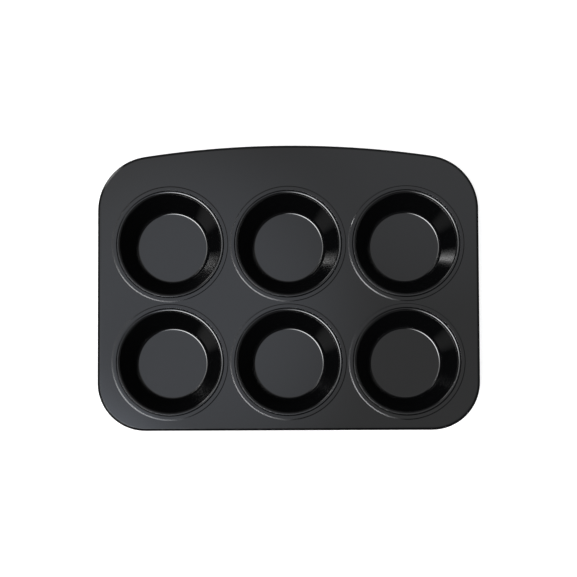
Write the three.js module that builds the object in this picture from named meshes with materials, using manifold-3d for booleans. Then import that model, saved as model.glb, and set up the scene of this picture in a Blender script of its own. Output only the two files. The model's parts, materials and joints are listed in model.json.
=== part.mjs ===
// A muffin pan of coated sheet steel: a deck with a rolled rim, and cups seamed into it.
// Units are millimetres, +Z is up and +Y points to the arched back edge.
// The pan stands on z = 0, and the origin is below the middle of its outline.

import * as THREE from "three";
import { mergeVertices, toCreasedNormals } from "three/addons/utils/BufferGeometryUtils.js";
import Module from "manifold-3d";

const wasm = await Module();
wasm.setup();

// Driving dimensions of the sheet and the fits
const SHEET = 0.6; // thickness of the pressed steel
const CLEARANCE = 0.3; // gap between pieces that meet

// Driving dimensions of a cup
const MOUTH_RADIUS = 35.5; // inside of the neck, just below the lip
const FLOOR_RADIUS = 26; // inside of the wall, carried down to the floor
const CUP_HEIGHT = 32; // underside of the floor to the top of the lip
const FLOOR_FILLET = 2.4; // inside radius between floor and wall
const LIP_BEND = 0.75; // radius under the lip, where the neck turns outwards
const LIP_FLAT = 0.75; // flat of the lip that lies on the deck
const BEAD_HOLD = 0.6; // how far the locking bead reaches under the deck
const BEAD_GROOVE = 1.2; // height of the bead's hollow, seen from inside the cup

// Driving dimensions of the deck
const RING_FLAT = 2.9; // flat of the raised ring outside each lip
const RING_STEP = 0.75; // width of the slope from the ring down to the deck
const RING_RISE = 0.15; // height of the ring above the deck
const CUP_GAP = 1.2; // flat deck between two neighbouring rings
const SIDE_MARGIN = 10.05; // from a ring to the side edge
const FRONT_MARGIN = 7.15; // from a ring to the front edge
const BACK_MARGIN = 28.85; // from a ring to the middle of the arched back edge
const ARCH_RISE = 13.4; // how far the back edge falls from its middle to the sides
const FRONT_CORNER = 34; // radius of the outline's front corners
const BACK_CORNER = 38.7; // radius of the outline's back corners
const WIRE_RADIUS = 0.8; // stiffening wire inside the rolled rim
const CURL_GAP = 0.5; // from the free edge of the rolled rim up to the deck

// Layout of the cups
const ROWS = ["front", "back"];
const COLUMNS = ["left", "centre", "right"];

// Fineness of the curves
const ROUND_STEPS = 32; // sides of a full circle
const FILLET_STEPS = 3;
const BEND_STEPS = 3;
const BEAD_STEPS = 2;
const SLOPE_STEPS = 3;
const CORNER_STEPS = 8;
const ARCH_STEPS = 16;
const CURL_STEPS = 3; // in the first quarter turn of the rolled rim
const WIRE_SIDES = 8;
const JOIN_LAP = 0.5; // how far the shapes of the deck run into each other
const CREASE_ANGLE = Math.PI / 6; // sharper edges than this are shaded as edges

// Heights that follow, from the lip down
const LIP_UNDER = CUP_HEIGHT - SHEET;
const RING_TOP = LIP_UNDER - CLEARANCE;
const DECK_TOP = RING_TOP - RING_RISE;
const DECK_UNDER = DECK_TOP - SHEET;
const BEND_HEIGHT = LIP_UNDER - LIP_BEND;
const BEAD_TOP = Math.min(RING_TOP - SHEET, BEND_HEIGHT) - CLEARANCE;
const BEAD_BOTTOM = BEAD_TOP - BEAD_GROOVE - 2 * SHEET;

// Radii that follow, from the mouth outwards
const NECK_RADIUS = MOUTH_RADIUS + SHEET;
const HOLE_RADIUS = NECK_RADIUS + LIP_BEND;
const LIP_RADIUS = HOLE_RADIUS + LIP_FLAT;
const RING_RADIUS = LIP_RADIUS + RING_FLAT;
const RING_FOOT = RING_RADIUS + RING_STEP;

// The rolled rim closes round the wire
const RIM_RADIUS = WIRE_RADIUS + CLEARANCE + SHEET;
const RIM_HEIGHT = DECK_TOP - RIM_RADIUS;

// Places that follow
const PITCH = 2 * RING_FOOT + CUP_GAP;
const FIRST_COLUMN = (-PITCH * (COLUMNS.length - 1)) / 2;
const HALF_WIDTH = -FIRST_COLUMN + RING_FOOT + SIDE_MARGIN;
const DEPTH = FRONT_MARGIN + 2 * RING_FOOT + PITCH * (ROWS.length - 1) + BACK_MARGIN;
const FRONT_EDGE = -DEPTH / 2;
const BACK_EDGE = DEPTH / 2;
const FIRST_ROW = FRONT_EDGE + FRONT_MARGIN + RING_FOOT;

const QUARTER = Math.PI / 2;
const TURN = 2 * Math.PI;

// Materials

function coatedSteel() {
  return new THREE.MeshStandardMaterial({ color: 0x17181a, roughness: 0.36, metalness: 0.1 });
}

function galvanisedSteel() {
  return new THREE.MeshStandardMaterial({ color: 0x9b9da0, roughness: 0.45, metalness: 1 });
}

// Shape helpers

// Points along an arc, elliptical where the two radii differ
function arc(x, y, radiusX, radiusY, from, to, steps) {
  return Array.from({ length: steps + 1 }, (_, i) => {
    const angle = from + ((to - from) * i) / steps;
    return new THREE.Vector2(x + radiusX * Math.cos(angle), y + radiusY * Math.sin(angle));
  });
}

// A closed profile of radius and height, turned about the z axis
function turned(profile) {
  return new THREE.LatheGeometry(profile, ROUND_STEPS).rotateX(QUARTER);
}

// The pan's outline moved inwards, with the same number of points whatever the inset
function outline(inset) {
  const archRadius = (HALF_WIDTH ** 2 + ARCH_RISE ** 2) / (2 * ARCH_RISE);
  const archY = BACK_EDGE - archRadius;
  const backX = HALF_WIDTH - BACK_CORNER;
  const tangent = Math.acos(backX / (archRadius - BACK_CORNER));
  const backY = archY + (archRadius - BACK_CORNER) * Math.sin(tangent);
  const frontX = HALF_WIDTH - FRONT_CORNER;
  const frontY = FRONT_EDGE + FRONT_CORNER;
  const round = (x, y, radius, from, to, steps) =>
    arc(x, y, radius - inset, radius - inset, from, to, steps);
  return [
    ...round(frontX, frontY, FRONT_CORNER, -QUARTER, 0, CORNER_STEPS),
    ...round(backX, backY, BACK_CORNER, 0, tangent, CORNER_STEPS),
    ...round(0, archY, archRadius, tangent, Math.PI - tangent, ARCH_STEPS).slice(1, -1),
    ...round(-backX, backY, BACK_CORNER, Math.PI - tangent, Math.PI, CORNER_STEPS),
    ...round(-frontX, frontY, FRONT_CORNER, Math.PI, Math.PI + QUARTER, CORNER_STEPS),
  ];
}

// A closed section of inset and height, carried once round the pan's outline
function roundTheOutline(section) {
  const loops = section.map((point) => outline(point.x));
  const perLoop = loops[0].length;
  const positions = loops.flatMap((loop, i) => loop.flatMap((p) => [p.x, p.y, section[i].y]));
  const indices = [];
  for (let i = 0; i < section.length; i++) {
    const here = i * perLoop;
    const next = ((i + 1) % section.length) * perLoop;
    for (let j = 0; j < perLoop; j++) {
      const k = (j + 1) % perLoop;
      indices.push(here + j, next + k, here + k);
      indices.push(here + j, next + j, next + k);
    }
  }
  return new THREE.BufferGeometry()
    .setAttribute("position", new THREE.Float32BufferAttribute(positions, 3))
    .setIndex(indices);
}

// A geometry as a solid that can be joined to others
function solid(geometry) {
  const bare = geometry.clone();
  bare.deleteAttribute("normal");
  bare.deleteAttribute("uv");
  const merged = mergeVertices(bare);
  return new wasm.Manifold(
    new wasm.Mesh({
      numProp: 3,
      vertProperties: new Float32Array(merged.attributes.position.array),
      triVerts: new Uint32Array(merged.index.array),
    }),
  );
}

// Overlapping geometries as one closed geometry
function joined(geometries) {
  const [first, ...others] = geometries.map(solid);
  const mesh = others.reduce((whole, piece) => whole.add(piece), first).getMesh();
  return new THREE.BufferGeometry()
    .setAttribute("position", new THREE.BufferAttribute(mesh.vertProperties, 3))
    .setIndex(new THREE.BufferAttribute(mesh.triVerts, 1));
}

function piece(name, geometry, material) {
  const mesh = new THREE.Mesh(toCreasedNormals(geometry, CREASE_ANGLE), material);
  mesh.name = name;
  return mesh;
}

// Cup

// The section runs from under the floor up the outside, over the lip and down the inside
function cupProfile() {
  const draft = Math.atan((MOUTH_RADIUS - FLOOR_RADIUS) / (BEAD_BOTTOM - SHEET));
  const filletX = FLOOR_RADIUS - (FLOOR_FILLET * (1 - Math.sin(draft))) / Math.cos(draft);
  const filletY = SHEET + FLOOR_FILLET;
  const beadDepth = HOLE_RADIUS + BEAD_HOLD - NECK_RADIUS;
  const beadY = (BEAD_TOP + BEAD_BOTTOM) / 2;
  const fillet = (radius, from, to) =>
    arc(filletX, filletY, radius, radius, from, to, FILLET_STEPS);
  const bead = (neck, halfHeight, from, to) =>
    arc(neck, beadY, beadDepth, halfHeight, from, to, BEAD_STEPS);
  const bend = (radius, from, to) =>
    arc(HOLE_RADIUS, BEND_HEIGHT, radius, radius, from, to, BEND_STEPS);
  return [
    new THREE.Vector2(0, 0),
    ...fillet(FLOOR_FILLET + SHEET, -QUARTER, -draft),
    new THREE.Vector2(NECK_RADIUS, BEAD_BOTTOM - SHEET * Math.tan(draft / 2)),
    ...bead(NECK_RADIUS, BEAD_GROOVE / 2 + SHEET, -QUARTER, QUARTER),
    ...bend(LIP_BEND, Math.PI, QUARTER),
    new THREE.Vector2(LIP_RADIUS, LIP_UNDER),
    new THREE.Vector2(LIP_RADIUS, CUP_HEIGHT),
    ...bend(LIP_BEND + SHEET, QUARTER, Math.PI),
    ...bead(MOUTH_RADIUS, BEAD_GROOVE / 2, QUARTER, -QUARTER),
    new THREE.Vector2(MOUTH_RADIUS, BEAD_BOTTOM),
    ...fillet(FLOOR_FILLET, -draft, -QUARTER),
    new THREE.Vector2(0, SHEET),
  ];
}

function cup(name, place) {
  const mesh = piece(name, turned(cupProfile()), coatedSteel());
  mesh.position.set(place.x, place.y, 0);
  return mesh;
}

// Deck

// The flat of the deck, with a round hole at the foot of each raised ring
function plate(places) {
  const shape = new THREE.Shape(outline(RIM_RADIUS));
  for (const { x, y } of places) {
    const circle = arc(x, y, RING_FOOT, RING_FOOT, -QUARTER, TURN - QUARTER, ROUND_STEPS);
    shape.holes.push(new THREE.Path(circle.slice(0, -1)));
  }
  const flat = new THREE.ExtrudeGeometry(shape, { depth: SHEET, bevelEnabled: false });
  return flat.translate(0, 0, DECK_UNDER);
}

// The raised ring that a cup hangs in, from its hole out to the flat of the deck
function ring(place) {
  const slope = Array.from({ length: SLOPE_STEPS + 1 }, (_, i) => {
    const across = i / SLOPE_STEPS;
    const fall = THREE.MathUtils.smoothstep(across, 0, 1);
    return new THREE.Vector2(RING_RADIUS + RING_STEP * across, RING_TOP - RING_RISE * fall);
  });
  const top = [
    new THREE.Vector2(HOLE_RADIUS, RING_TOP),
    ...slope,
    new THREE.Vector2(RING_FOOT + JOIN_LAP, DECK_TOP),
  ];
  const under = top.map((point) => new THREE.Vector2(point.x, point.y - SHEET));
  return turned([...under, ...top.reverse(), under[0]]).translate(place.x, place.y, 0);
}

// The edge of the deck, curled outwards, down and back in round the wire
function curl() {
  const freeEdge = TURN + Math.asin((RIM_RADIUS - SHEET - CURL_GAP) / RIM_RADIUS);
  const wrap = (radius) => [
    ...arc(RIM_RADIUS, RIM_HEIGHT, radius, radius, QUARTER, Math.PI, CURL_STEPS),
    ...arc(RIM_RADIUS, RIM_HEIGHT, radius, radius, Math.PI, freeEdge, 2 * CURL_STEPS).slice(1),
  ];
  return roundTheOutline([
    new THREE.Vector2(RIM_RADIUS + JOIN_LAP, DECK_TOP),
    ...wrap(RIM_RADIUS),
    ...wrap(RIM_RADIUS - SHEET).reverse(),
    new THREE.Vector2(RIM_RADIUS + JOIN_LAP, DECK_UNDER),
  ]);
}

function deck(places) {
  return piece("deck", joined([plate(places), ...places.map(ring), curl()]), coatedSteel());
}

// Rim wire

function rimWire() {
  const circle = arc(RIM_RADIUS, RIM_HEIGHT, WIRE_RADIUS, WIRE_RADIUS, 0, TURN, WIRE_SIDES);
  return piece("rim_wire", roundTheOutline(circle.slice(0, -1)), galvanisedSteel());
}

// Assembly

const cups = ROWS.flatMap((row, j) =>
  COLUMNS.map((column, i) => ({
    name: `cup_${row}_${column}`,
    place: new THREE.Vector2(FIRST_COLUMN + i * PITCH, FIRST_ROW + j * PITCH),
  })),
);

const pan = new THREE.Group();
pan.add(deck(cups.map(({ place }) => place)));
pan.add(rimWire());
for (const { name, place } of cups) {
  pan.add(cup(name, place));
}

export default pan;
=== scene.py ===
# The looks of a coated steel muffin pan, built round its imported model.
# Everything is in metres, in the model's own frame: +Z up, +Y to the arched back edge.

import json
import math

import bmesh
import bpy
from mathutils import Matrix, Quaternion, Vector


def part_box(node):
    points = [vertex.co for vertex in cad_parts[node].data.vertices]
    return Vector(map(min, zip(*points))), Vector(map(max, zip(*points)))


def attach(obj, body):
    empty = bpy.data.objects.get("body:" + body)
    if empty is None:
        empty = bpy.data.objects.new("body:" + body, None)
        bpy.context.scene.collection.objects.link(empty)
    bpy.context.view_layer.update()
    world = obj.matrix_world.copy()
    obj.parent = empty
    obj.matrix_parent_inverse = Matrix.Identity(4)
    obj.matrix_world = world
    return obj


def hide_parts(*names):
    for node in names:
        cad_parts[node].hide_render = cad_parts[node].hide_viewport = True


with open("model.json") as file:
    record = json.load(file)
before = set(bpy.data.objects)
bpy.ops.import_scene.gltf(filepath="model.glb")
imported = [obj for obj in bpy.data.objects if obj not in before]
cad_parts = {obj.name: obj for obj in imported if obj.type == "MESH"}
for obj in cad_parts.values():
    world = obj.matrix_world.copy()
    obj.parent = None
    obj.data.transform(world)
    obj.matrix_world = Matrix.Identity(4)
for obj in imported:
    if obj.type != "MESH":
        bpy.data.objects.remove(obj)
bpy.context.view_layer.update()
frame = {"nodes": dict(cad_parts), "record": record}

MM = 0.001
QUARTER = math.pi / 2
TURN = 2 * math.pi

# Sizes that the frame gives
CUPS = sorted(name for name in frame["nodes"] if name.startswith("cup_"))
SEATS = [m for m in frame["record"]["mounts"] if m["name"].startswith("seat_")]
deck_low, deck_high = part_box("deck")
wire_low, wire_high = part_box("rim_wire")
first_low, first_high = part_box(CUPS[0])
SHEET = SEATS[0]["pos_m"][2]  # a cup's floor is one sheet above the surface it stands on
HALF_WIDTH = deck_high.x
FRONT_EDGE = deck_low.y
BACK_EDGE = deck_high.y
RING_TOP = deck_high.z
WIRE_RADIUS = (wire_high.z - wire_low.z) / 2
RIM_RADIUS = deck_high.x - wire_high.x + WIRE_RADIUS
RIM_HEIGHT = (wire_high.z + wire_low.z) / 2
DECK_TOP = RIM_HEIGHT + RIM_RADIUS
DECK_UNDER = DECK_TOP - SHEET
CUP_HEIGHT = first_high.z
LIP_RADIUS = (first_high.x - first_low.x) / 2

# Sizes of the cups that only their profile shows
MOUTH_RADIUS = 35.5 * MM
FLOOR_RADIUS = 25.85 * MM
FLOOR_FILLET = 2.2 * MM
LIP_BEND = 1.45 * MM  # over the top, from the lip down into the neck
LIP_EDGE = 0.15 * MM  # outwards, from the top of the lip down to the ring
LIP_HEM = 0.4 * MM  # how far the edge of the lip turns back in below
BEAD_RADIUS = 37.45 * MM
BEAD_TOP = 29.9 * MM
BEAD_BOTTOM = 27.8 * MM
BEAD_ROUND = 1.0 * MM
GROOVE_RADIUS = 35.85 * MM  # shallow groove inside, behind the bead
TIGHT_BEND = 0.1 * MM
SEAT_GAP = 0.05 * MM  # between the edge of the lip and the deck under and round it

# Sizes of the deck that only its profile shows
HOLE_RADIUS = 36.85 * MM
SEAT_RADIUS = 38.35 * MM  # where the top of the ring turns down to the seat of the lip
SEAT_DEPTH = 0.45 * MM
SEAT_HEIGHT = RING_TOP - SEAT_DEPTH
RING_RADIUS = 40.7 * MM  # outer edge of the ring's level top
RING_FOOT = 41.1 * MM  # where the step round the ring meets the deck
RING_BEND = 0.5 * MM
ARCH_RISE = 13.4 * MM
FRONT_CORNER = 34 * MM
BACK_CORNER = 38.7 * MM
CURL_GAP = 0.5 * MM  # from the free edge of the roll up to the sheet above it
RIM_WIDTH = 1.6 * MM  # strip along the edge that falls away
RIM_FALL = 0.73 * MM
RIM_BEND = 0.25 * MM  # where that strip leaves the flat of the deck
RIM_EDGE = 0.15 * MM  # where it turns down into the side of the roll
FLAT_BAND = 0.42 * MM  # level strip between a bend and the wide flats of the deck

# Fineness of the curves
ROUND_STEPS = 96
CORNER_STEPS = 20
ARCH_STEPS = 40
CURL_STEPS = 24
CURL_EDGE_STEPS = 6
BEND_ANGLE = math.radians(12)
WIRE_SIDES = 12
FACE_WEIGHT = 100  # of large faces, in the weighted normals


# Shape helpers

def arc(x, y, radius, start, end, steps):
    """Points along an arc."""
    angles = [start + (end - start) * i / steps for i in range(steps + 1)]
    return [(x + radius * math.cos(a), y + radius * math.sin(a)) for a in angles]


def rounded(corners):
    """A path through corners of (x, y, bend radius), with an arc where the radius isn't 0."""
    path = []
    for i, (x, y, radius) in enumerate(corners):
        here = Vector((x, y))
        if radius == 0:
            path.append((x, y))
            continue
        back = (Vector(corners[i - 1][:2]) - here).normalized()
        ahead = (Vector(corners[i + 1][:2]) - here).normalized()
        half = back.angle(ahead) / 2
        centre = here + (back + ahead).normalized() * radius / math.sin(half)
        start = here + back * radius / math.tan(half) - centre
        bend = math.pi - 2 * half
        turn = math.copysign(bend, ahead.cross(back))
        angle = math.atan2(start.y, start.x)
        steps = max(2, math.ceil(bend / BEND_ANGLE))
        path += arc(centre.x, centre.y, radius, angle, angle + turn, steps)
    return path


def outline(inset):
    """The pan's outline moved inwards, with the same number of points whatever the inset."""
    arch_radius = (HALF_WIDTH**2 + ARCH_RISE**2) / (2 * ARCH_RISE)
    arch_y = BACK_EDGE - arch_radius
    back_x = HALF_WIDTH - BACK_CORNER
    tangent = math.acos(back_x / (arch_radius - BACK_CORNER))
    back_y = arch_y + (arch_radius - BACK_CORNER) * math.sin(tangent)
    front_x = HALF_WIDTH - FRONT_CORNER
    front_y = FRONT_EDGE + FRONT_CORNER
    front = FRONT_CORNER - inset
    back = BACK_CORNER - inset
    return [
        *arc(front_x, front_y, front, -QUARTER, 0, CORNER_STEPS),
        *arc(back_x, back_y, back, 0, tangent, CORNER_STEPS),
        *arc(0, arch_y, arch_radius - inset, tangent, math.pi - tangent, ARCH_STEPS)[1:-1],
        *arc(-back_x, back_y, back, math.pi - tangent, math.pi, CORNER_STEPS),
        *arc(-front_x, front_y, front, math.pi, math.pi + QUARTER, CORNER_STEPS),
    ]


def circle(centre, radius):
    """Points round a circle."""
    return arc(centre.x, centre.y, radius, 0, TURN, ROUND_STEPS)[:-1]


def add_bands(mesh, loops, closed=False):
    """Faces between each loop of points and the next, and the loops' vertices.

    Closed bands also join the last loop to the first.
    """
    rows = [[mesh.verts.new(point) for point in loop] for loop in loops]
    following = rows[1:] + rows[:1] if closed else rows[1:]
    for row, after in zip(rows, following):
        for i in range(len(row)):
            j = (i + 1) % len(row)
            mesh.faces.new((row[i], row[j], after[j], after[i]))
    return rows


def turned_bands(mesh, centre, profile):
    """A profile of (radius, height) turned about the upright axis through a centre."""
    return add_bands(mesh, [[(x, y, z) for x, y in circle(centre, r)] for r, z in profile])


def outline_bands(mesh, section, closed=False):
    """A section of (inset, height) carried once round the pan's outline."""
    loops = [[(x, y, z) for x, y in outline(inset)] for inset, z in section]
    return add_bands(mesh, loops, closed)


def fill_flat(mesh, rows):
    """Triangles in the level area that closed rows of vertices bound."""
    edges = [mesh.edges.get((row[i - 1], row[i])) for row in rows for i in range(len(row))]
    bmesh.ops.triangle_fill(mesh, edges=edges, use_beauty=True)


def piece(name, mesh, material, slot, *nodes):
    """A finished piece of the pan, which stands for its nodes."""
    bmesh.ops.recalc_face_normals(mesh, faces=mesh.faces)
    data = bpy.data.meshes.new(name)
    mesh.to_mesh(data)
    mesh.free()
    data.shade_smooth()
    data.materials.append(material)
    made = bpy.data.objects.new(name, data)
    bpy.context.scene.collection.objects.link(made)
    normals = made.modifiers.new("Level flats", "WEIGHTED_NORMAL")
    normals.weight = FACE_WEIGHT
    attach(made, "root")
    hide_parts(*nodes)


# Node helpers

def new_material(name):
    """A material, and the nodes and links to build it from."""
    material = bpy.data.materials.new(name)
    material.use_nodes = True
    return material, material.node_tree.nodes, material.node_tree.links


def math_node(nodes, links, operation, *values):
    """The result of a math operation on sockets and plain numbers."""
    made = nodes.new("ShaderNodeMath")
    made.operation = operation
    for socket, value in zip(made.inputs, values):
        if isinstance(value, bpy.types.NodeSocket):
            links.new(value, socket)
        else:
            socket.default_value = value
    return made.outputs["Value"]


def mix_colors(nodes, links, factor, first, second):
    """A colour between two colours."""
    mix = nodes.new("ShaderNodeMix")
    mix.data_type = "RGBA"
    mix.inputs["A"].default_value = (*first, 1)
    mix.inputs["B"].default_value = (*second, 1)
    links.new(factor, mix.inputs["Factor"])
    return mix.outputs["Result"]


def noise(nodes, links, scale, detail):
    """A noise pattern fixed to the object, with a scale in cells for each metre."""
    place = nodes.new("ShaderNodeTexCoord")
    pattern = nodes.new("ShaderNodeTexNoise")
    pattern.inputs["Scale"].default_value = scale
    pattern.inputs["Detail"].default_value = detail
    links.new(place.outputs["Object"], pattern.inputs["Vector"])
    return pattern.outputs["Fac"]


def spread(nodes, links, value, low, high):
    """A noise pattern's values stretched to run from low to high."""
    stretch = nodes.new("ShaderNodeMapRange")
    stretch.inputs["From Min"].default_value = NOISE_LOW
    stretch.inputs["From Max"].default_value = NOISE_HIGH
    stretch.inputs["To Min"].default_value = low
    stretch.inputs["To Max"].default_value = high
    links.new(value, stretch.inputs["Value"])
    return stretch.outputs["Result"]


# Materials

NOISE_LOW, NOISE_HIGH = 0.3, 0.7  # most of a noise pattern's values lie between these

COAT_IOR = 1.6
COAT_DARK = (0.0020, 0.0021, 0.0024)
COAT_LIGHT = (0.0032, 0.0034, 0.0038)
COAT_ROUGHNESS = (0.045, 0.06)
COAT_CLOUD_SCALE, COAT_CLOUD_DETAIL = 45, 3
COAT_GRAIN_SCALE, COAT_GRAIN_DETAIL = 3200, 2
COAT_GRAIN_DEPTH = 0.01 * MM
COAT_BUMP = 0.07

WIRE_DULL = (0.42, 0.43, 0.44)
WIRE_BRIGHT = (0.58, 0.59, 0.60)
WIRE_ROUGHNESS = (0.35, 0.55)
WIRE_PATCH_SCALE, WIRE_PATCH_DETAIL = 400, 4


def nonstick_coat():
    """Satin black coating: fine grain under a smooth film, a little uneven from spraying."""
    material, nodes, links = new_material("nonstick_coat")
    shader = nodes["Principled BSDF"]
    shader.inputs["IOR"].default_value = COAT_IOR
    cloud = noise(nodes, links, COAT_CLOUD_SCALE, COAT_CLOUD_DETAIL)
    grain = noise(nodes, links, COAT_GRAIN_SCALE, COAT_GRAIN_DETAIL)
    color = mix_colors(nodes, links, spread(nodes, links, grain, 0, 1), COAT_DARK, COAT_LIGHT)
    links.new(color, shader.inputs["Base Color"])
    links.new(spread(nodes, links, cloud, *COAT_ROUGHNESS), shader.inputs["Roughness"])
    bump = nodes.new("ShaderNodeBump")
    bump.inputs["Strength"].default_value = COAT_BUMP
    bump.inputs["Distance"].default_value = COAT_GRAIN_DEPTH
    links.new(grain, bump.inputs["Height"])
    links.new(bump.outputs["Normal"], shader.inputs["Normal"])
    return material


def galvanised_wire():
    """Zinc-coated wire with dull patches."""
    material, nodes, links = new_material("galvanised_wire")
    shader = nodes["Principled BSDF"]
    shader.inputs["Metallic"].default_value = 1
    patches = noise(nodes, links, WIRE_PATCH_SCALE, WIRE_PATCH_DETAIL)
    color = mix_colors(nodes, links, spread(nodes, links, patches, 0, 1), WIRE_DULL, WIRE_BRIGHT)
    links.new(color, shader.inputs["Base Color"])
    links.new(spread(nodes, links, patches, *WIRE_ROUGHNESS), shader.inputs["Roughness"])
    return material


COAT = nonstick_coat()
WIRE = galvanised_wire()


# Cups

def cup_profile():
    """Up the outside from under the floor, over the lip and down the inside."""
    draft = math.atan((MOUTH_RADIUS - FLOOR_RADIUS) / (BEAD_BOTTOM - SHEET))
    neck = MOUTH_RADIUS + SHEET
    outer_foot = FLOOR_RADIUS + SHEET * (1 - math.sin(draft)) / math.cos(draft)
    outer_shoulder = BEAD_BOTTOM - SHEET * math.tan(draft / 2)
    lip_under = CUP_HEIGHT - SHEET
    return rounded([
        (0, 0, 0),
        (outer_foot, 0, FLOOR_FILLET + SHEET),
        (neck, outer_shoulder, 0),
        (neck, BEAD_BOTTOM, 0),
        (BEAD_RADIUS, BEAD_BOTTOM, BEAD_ROUND),
        (BEAD_RADIUS, BEAD_TOP, BEAD_ROUND),
        (neck, BEAD_TOP, 0),
        (neck, lip_under, LIP_BEND - SHEET),
        (LIP_RADIUS - LIP_HEM, lip_under, TIGHT_BEND),
        (LIP_RADIUS - LIP_HEM, SEAT_HEIGHT + SEAT_GAP, TIGHT_BEND),
        (LIP_RADIUS, SEAT_HEIGHT + SEAT_GAP, TIGHT_BEND),
        (LIP_RADIUS, CUP_HEIGHT, LIP_EDGE),
        (MOUTH_RADIUS, CUP_HEIGHT, LIP_BEND),
        (MOUTH_RADIUS, BEAD_TOP - SHEET, TIGHT_BEND),
        (GROOVE_RADIUS, (BEAD_TOP + BEAD_BOTTOM) / 2, TIGHT_BEND),
        (MOUTH_RADIUS, BEAD_BOTTOM + SHEET, TIGHT_BEND),
        (MOUTH_RADIUS, BEAD_BOTTOM, 0),
        (FLOOR_RADIUS, SHEET, FLOOR_FILLET),
        (0, SHEET, 0),
    ])


def make_cup(node):
    """One cup, closed by a round face above and below its floor."""
    low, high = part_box(node)
    mesh = bmesh.new()
    rows = turned_bands(mesh, (low + high) / 2, cup_profile()[1:-1])
    mesh.faces.new(rows[0])
    mesh.faces.new(rows[-1])
    piece(f"{node}_drawn", mesh, COAT, "nonstick_coat", node)


for node in CUPS:
    make_cup(node)


# Deck

def ring_profile():
    """From the flat of the deck over the raised ring to the hole, and back below."""
    ring_under = RING_TOP - SHEET
    seat = LIP_RADIUS + SEAT_GAP
    return rounded([
        (RING_FOOT + FLAT_BAND, DECK_TOP, 0),
        (RING_FOOT, DECK_TOP, RING_BEND),
        (RING_RADIUS, RING_TOP, RING_BEND),
        (SEAT_RADIUS, RING_TOP, TIGHT_BEND),
        (seat, SEAT_HEIGHT, TIGHT_BEND),
        (HOLE_RADIUS, SEAT_HEIGHT, TIGHT_BEND),
        (HOLE_RADIUS, SEAT_HEIGHT - SHEET, TIGHT_BEND),
        (seat, SEAT_HEIGHT - SHEET, TIGHT_BEND),
        (SEAT_RADIUS, ring_under, TIGHT_BEND),
        (RING_RADIUS, ring_under, RING_BEND),
        (RING_FOOT, DECK_UNDER, RING_BEND),
        (RING_FOOT + FLAT_BAND, DECK_UNDER, 0),
    ])


def curl_section():
    """From the flat of the deck out over the rolled rim, round its free edge and back inside."""
    level = RIM_RADIUS + FLAT_BAND
    inside = RIM_RADIUS - SHEET
    end = TURN + math.asin((inside - CURL_GAP) / RIM_RADIUS)
    middle = RIM_RADIUS - SHEET / 2
    edge_x = RIM_RADIUS + middle * math.cos(end)
    edge_z = RIM_HEIGHT + middle * math.sin(end)
    top = rounded([
        (level, DECK_TOP, 0),
        (RIM_WIDTH, DECK_TOP, RIM_BEND),
        (0, DECK_TOP - RIM_FALL, RIM_EDGE),
        (0, RIM_HEIGHT, 0),
    ])
    return [
        *top,
        *arc(RIM_RADIUS, RIM_HEIGHT, RIM_RADIUS, math.pi, end, CURL_STEPS)[1:],
        *arc(edge_x, edge_z, SHEET / 2, end, end + math.pi, CURL_EDGE_STEPS)[1:-1],
        *arc(RIM_RADIUS, RIM_HEIGHT, inside, end, QUARTER, CURL_STEPS),
        (level, DECK_UNDER),
    ]


def make_deck():
    """The top sheet: its rolled rim, its rings, and the flats between them."""
    mesh = bmesh.new()
    loops = [outline_bands(mesh, curl_section())]
    for node in CUPS:
        low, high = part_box(node)
        loops.append(turned_bands(mesh, (low + high) / 2, ring_profile()))
    fill_flat(mesh, [rows[0] for rows in loops])
    fill_flat(mesh, [rows[-1] for rows in loops])
    piece("deck_pressed", mesh, COAT, "nonstick_coat", "deck")


make_deck()


# Rim wire

def make_rim_wire():
    """The wire that the rim is rolled round."""
    mesh = bmesh.new()
    section = arc(RIM_RADIUS, RIM_HEIGHT, WIRE_RADIUS, 0, TURN, WIRE_SIDES)[:-1]
    outline_bands(mesh, section, closed=True)
    piece("rim_wire_drawn", mesh, WIRE, "wire", "rim_wire")


make_rim_wire()


# Stage

WHITE = (1, 1, 1)
FLOOR_SIZE = 24
FLOOR_DROP = 0.1 * MM
FLOOR_COLOR = (0.45, 0.45, 0.45)
FLOOR_ROUGHNESS = 0.9
FLOOR_GLOW = 0.86  # makes the floor white, but lights nothing


def make_floor():
    """A white floor that keeps the pan's shadow."""
    bpy.ops.mesh.primitive_plane_add(size=FLOOR_SIZE, location=(0, 0, -FLOOR_DROP))
    floor = bpy.context.object
    floor.name = "floor"
    material, nodes, links = new_material("white_floor")
    shader = nodes["Principled BSDF"]
    shader.inputs["Base Color"].default_value = (*FLOOR_COLOR, 1)
    shader.inputs["Roughness"].default_value = FLOOR_ROUGHNESS
    shader.inputs["Specular IOR Level"].default_value = 0
    shader.inputs["Emission Color"].default_value = (*WHITE, 1)
    rays = nodes.new("ShaderNodeLightPath").outputs
    seen = math_node(nodes, links, "MAXIMUM", rays["Is Camera Ray"], rays["Is Glossy Ray"])
    seen = math_node(nodes, links, "MAXIMUM", seen, rays["Is Transmission Ray"])
    glow = math_node(nodes, links, "MULTIPLY", seen, FLOOR_GLOW)
    links.new(glow, shader.inputs["Emission Strength"])
    floor.data.materials.append(material)


make_floor()


# Light. Angles are in degrees, as seen from the pan. Azimuth counts from +X towards +Y.
# A brightness of 1 is white.

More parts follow.
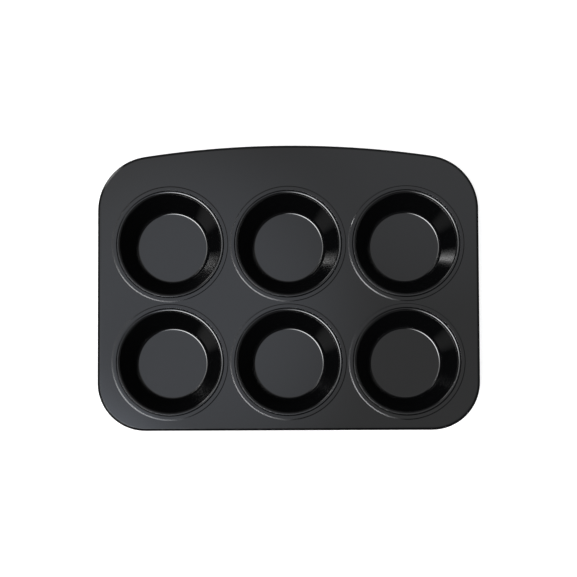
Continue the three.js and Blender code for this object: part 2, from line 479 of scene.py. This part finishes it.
ROOM = 0.02
HORIZON = 0.2  # added to the room low down, all round
HORIZON_START, HORIZON_FULL = 42, 28  # elevations between which it fades in
COOL = (0.76, 0.84, 1)  # colour of the light from straight above
COOL_START, COOL_FULL = 78, 84  # elevations between which it fades in
CLOUDS = [  # azimuth, elevation, full and faded out at angles from the middle, brightness
    (221.5, 70.3, 4, 17.6, 17.5),  # main light, high at the front left
    (172, 70.5, 2, 14, 3.5),  # high at the left
    (208, 51, 0, 12, 1.2),  # below the main light
    (138, 85, 1.5, 6, 0.56),  # nearly straight above
    (65, 80.6, 1, 5.5, 0.2),  # high at the back
    (138, 24, 2, 16, 3),  # low at the back left
]

OVERHEAD_AZIMUTH, OVERHEAD_ELEVATION = 90, 76
OVERHEAD_WIDTH, OVERHEAD_HEIGHT = 60, 36
OVERHEAD_BRIGHTNESS = 0.5
OVERHEAD_DISTANCE = 2.2

WINDOW_AZIMUTH, WINDOW_ELEVATION = 145.6, 51.87
WINDOW_HEIGHT = 0.7
WINDOW_DISTANCE = 0.981
WINDOW_LAYERS = [  # width, brightness: together brightest in the middle
    (4, 30),
    (8, 22),
    (12, 15),
    (17, 10),
    (23, 5),
]


def sine(degrees):
    """The sine of an angle in degrees."""
    return math.sin(math.radians(degrees))


def cosine(degrees):
    """The cosine of an angle in degrees."""
    return math.cos(math.radians(degrees))


def direction(azimuth, elevation):
    """The direction from the pan to a place in the sky."""
    level = cosine(elevation)
    return Vector((level * cosine(azimuth), level * sine(azimuth), sine(elevation)))


def make_world():
    """A dark room with soft patches of light, paler low down and cooler straight above.

    The camera itself sees it white.
    """
    world = bpy.data.worlds.new("studio")
    bpy.context.scene.world = world
    world.use_nodes = True
    nodes, links = world.node_tree.nodes, world.node_tree.links
    background = nodes["Background"]
    sky = nodes.new("ShaderNodeTexCoord").outputs["Generated"]
    axes = nodes.new("ShaderNodeSeparateXYZ")
    links.new(sky, axes.inputs["Vector"])
    rise = axes.outputs["Z"]

    def ramp(value, dark, bright):
        """A smooth change from 0 to 1."""
        change = nodes.new("ShaderNodeMapRange")
        change.interpolation_type = "SMOOTHSTEP"
        change.inputs["From Min"].default_value = dark
        change.inputs["From Max"].default_value = bright
        links.new(value, change.inputs["Value"])
        return change.outputs["Result"]

    def cloud(azimuth, elevation, core, reach):
        """A round patch that fades out between two angles from its middle."""
        nearness = nodes.new("ShaderNodeVectorMath")
        nearness.operation = "DOT_PRODUCT"
        nearness.inputs[1].default_value = direction(azimuth, elevation)
        links.new(sky, nearness.inputs[0])
        return ramp(nearness.outputs["Value"], cosine(reach), cosine(core))

    horizon = ramp(rise, sine(HORIZON_START), sine(HORIZON_FULL))
    light = math_node(nodes, links, "MULTIPLY_ADD", horizon, HORIZON, ROOM)
    for *place_and_size, brightness in CLOUDS:
        patch = cloud(*place_and_size)
        light = math_node(nodes, links, "MULTIPLY_ADD", patch, brightness, light)
    rays = nodes.new("ShaderNodeLightPath").outputs
    strength = math_node(nodes, links, "MAXIMUM", light, rays["Is Camera Ray"])
    links.new(strength, background.inputs["Strength"])
    above = ramp(rise, sine(COOL_START), sine(COOL_FULL))
    links.new(mix_colors(nodes, links, above, WHITE, COOL), background.inputs["Color"])


def softbox(name, azimuth, elevation, width, height, brightness, distance):
    """An oval lamp that faces the pan, with a face of the given brightness."""
    data = bpy.data.lights.new(name, "AREA")
    data.shape = "ELLIPSE"
    data.size = 2 * distance * math.tan(math.radians(width / 2))
    data.size_y = 2 * distance * math.tan(math.radians(height / 2))
    area = math.pi / 4 * data.size * data.size_y
    data.energy = brightness * math.pi * area
    lamp = bpy.data.objects.new(name, data)
    outwards = direction(azimuth, elevation)
    lamp.location = outwards * distance
    lamp.rotation_euler = outwards.to_track_quat("Z", "Y").to_euler()
    bpy.context.scene.collection.objects.link(lamp)


make_world()
softbox("overhead", OVERHEAD_AZIMUTH, OVERHEAD_ELEVATION, OVERHEAD_WIDTH, OVERHEAD_HEIGHT,
        OVERHEAD_BRIGHTNESS, OVERHEAD_DISTANCE)
for width, brightness in WINDOW_LAYERS:
    softbox(f"window_{width}", WINDOW_AZIMUTH, WINDOW_ELEVATION, width, WINDOW_HEIGHT,
            brightness, WINDOW_DISTANCE)


# Camera

CAMERA_DISTANCE = 1.45
CAMERA_ELEVATION = 85.96
CAMERA_SIDE = 0.009  # to the right, as a part of the distance
CAMERA_ROLL = math.radians(-0.26)
FRAME_WIDTH = 408.4 * MM  # what the picture spans at the deck
SENSOR_WIDTH = 36
TARGET = Vector((0.15 * MM, -0.9 * MM, DECK_TOP))  # in the middle of the picture


def make_camera():
    """A camera high above the front of the pan, with the back edge at the top."""
    data = bpy.data.cameras.new("camera")
    data.sensor_width = SENSOR_WIDTH
    data.lens = SENSOR_WIDTH * CAMERA_DISTANCE / FRAME_WIDTH
    camera = bpy.data.objects.new("camera", data)
    back = Vector((CAMERA_SIDE, -cosine(CAMERA_ELEVATION), sine(CAMERA_ELEVATION)))
    back.normalize()
    camera.location = TARGET + back * CAMERA_DISTANCE
    up = back.cross((1, 0, 0)).normalized()
    upright = Matrix((up.cross(back), up, back)).transposed().to_quaternion()
    camera.rotation_euler = (upright @ Quaternion((0, 0, 1), CAMERA_ROLL)).to_euler()
    bpy.context.scene.collection.objects.link(camera)
    bpy.context.scene.camera = camera


make_camera()
bpy.context.scene.view_settings.view_transform = "Standard"
